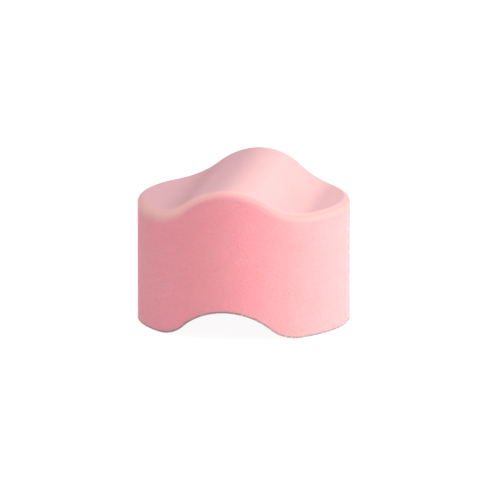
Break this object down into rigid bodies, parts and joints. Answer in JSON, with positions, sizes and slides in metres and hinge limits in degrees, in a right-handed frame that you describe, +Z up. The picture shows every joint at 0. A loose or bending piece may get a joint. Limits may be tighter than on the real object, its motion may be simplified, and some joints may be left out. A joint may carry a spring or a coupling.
{
  "type": "nail buffer block",
  "caption": "Round contoured nail buffer block of pink foam: a crowned polishing face, straight wall, and an arched filing face between flat feet.",
  "frame": {"origin": "middle of the plane that the two feet stand on, on the axis of the round wall", "axes": "+Z up, out of the crowned face; +Y along the crown and the arch; +X across them"},
  "size_m": [0.045, 0.045, 0.0322],
  "materials": {
    "core_foam": "matte",
    "pad_foam": "matte",
    "fine_grit": "matte",
    "adhesive": "satin",
    "backing_cloth": "matte",
    "coarse_grit": "matte"
  },
  "bodies": {
    "root": {"upper_grit_coat": "fine_grit", "upper_buffing_pad": "pad_foam", "upper_adhesive_film": "adhesive", "foam_core": "core_foam", "lower_adhesive_film": "adhesive", "lower_backing_cloth": "backing_cloth", "lower_grit_coat": "coarse_grit"}
  },
  "joints": []
}
